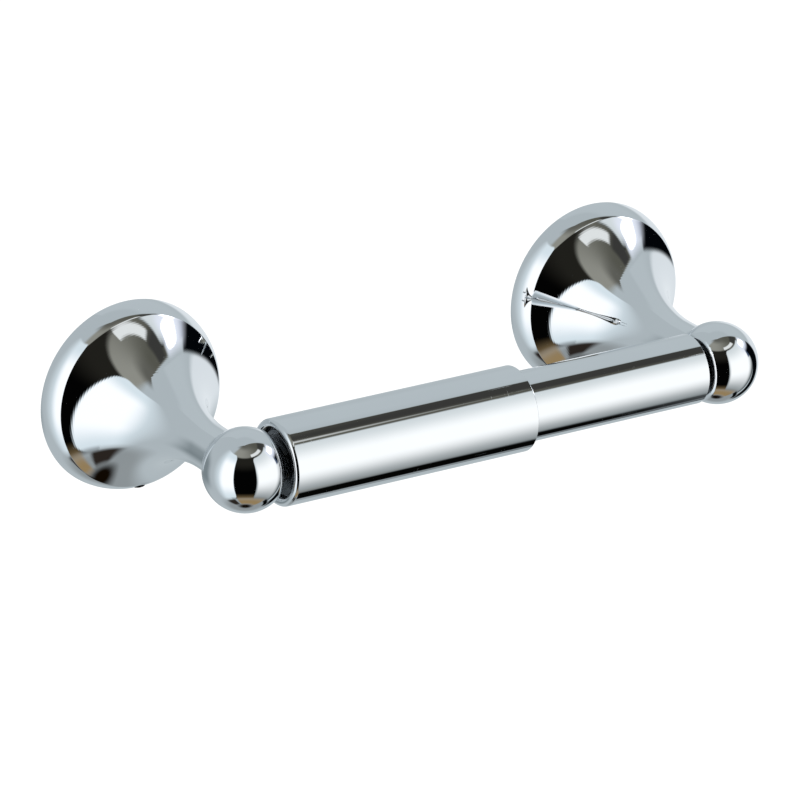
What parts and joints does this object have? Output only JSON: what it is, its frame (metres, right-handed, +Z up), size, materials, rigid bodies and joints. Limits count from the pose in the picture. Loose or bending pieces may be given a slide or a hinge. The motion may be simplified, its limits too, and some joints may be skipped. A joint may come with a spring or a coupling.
{
  "type": "toilet paper holder",
  "caption": "Wall-mounted toilet paper holder: two trumpet-shaped posts with ball ends and a sprung telescoping roller held between them.",
  "frame": {"origin": "in the wall plane, midway between the two posts, at the height of the roller's axis", "axes": "+X along the roller toward the slim tube, +Y into the wall, +Z up"},
  "size_m": [0.2096, 0.0976, 0.0556],
  "materials": {
    "polished_chrome": "polished chrome plate",
    "zinc_steel": "bright zinc plate",
    "stamped_steel": "zinc plate, matt",
    "black_steel": "black oxide",
    "spring_steel": "drawn wire",
    "nylon": "natural nylon"
  },
  "bodies": {
    "holder": {"left_post": "polished_chrome", "left_ball": "polished_chrome", "left_ball_screw": "zinc_steel", "left_lock_washer": "zinc_steel", "left_wall_bracket": "stamped_steel", "left_set_screw": "black_steel", "left_upper_wall_screw": "zinc_steel", "left_lower_wall_screw": "zinc_steel", "right_post": "polished_chrome", "right_ball": "polished_chrome", "right_ball_screw": "zinc_steel", "right_lock_washer": "zinc_steel", "right_wall_bracket": "stamped_steel", "right_set_screw": "black_steel", "right_upper_wall_screw": "zinc_steel", "right_lower_wall_screw": "zinc_steel"},
    "outer_half": {"outer_tube": "polished_chrome", "outer_end_cap": "polished_chrome", "spring": "spring_steel"},
    "guide": {"slide_bush": "nylon"},
    "inner_half": {"inner_tube": "polished_chrome", "inner_end_cap": "polished_chrome"}
  },
  "joints": [
    {"name": "roller_spin", "type": "hinge", "parent": "holder", "child": "outer_half", "pos_m": [0, -0.0654, 0], "axis": [1, 0, 0], "continuous": true},
    {"name": "roller_telescope", "type": "slide", "parent": "outer_half", "child": "guide", "axis": [-1, 0, 0], "range_m": [0, 0.018], "stiffness_N_per_m": 320, "springref_m": -0.03, "deforming": ["spring"]},
    {"name": "inner_half_spin", "type": "hinge", "parent": "guide", "child": "inner_half", "pos_m": [0, -0.0654, 0], "axis": [1, 0, 0], "continuous": true}
  ]
}
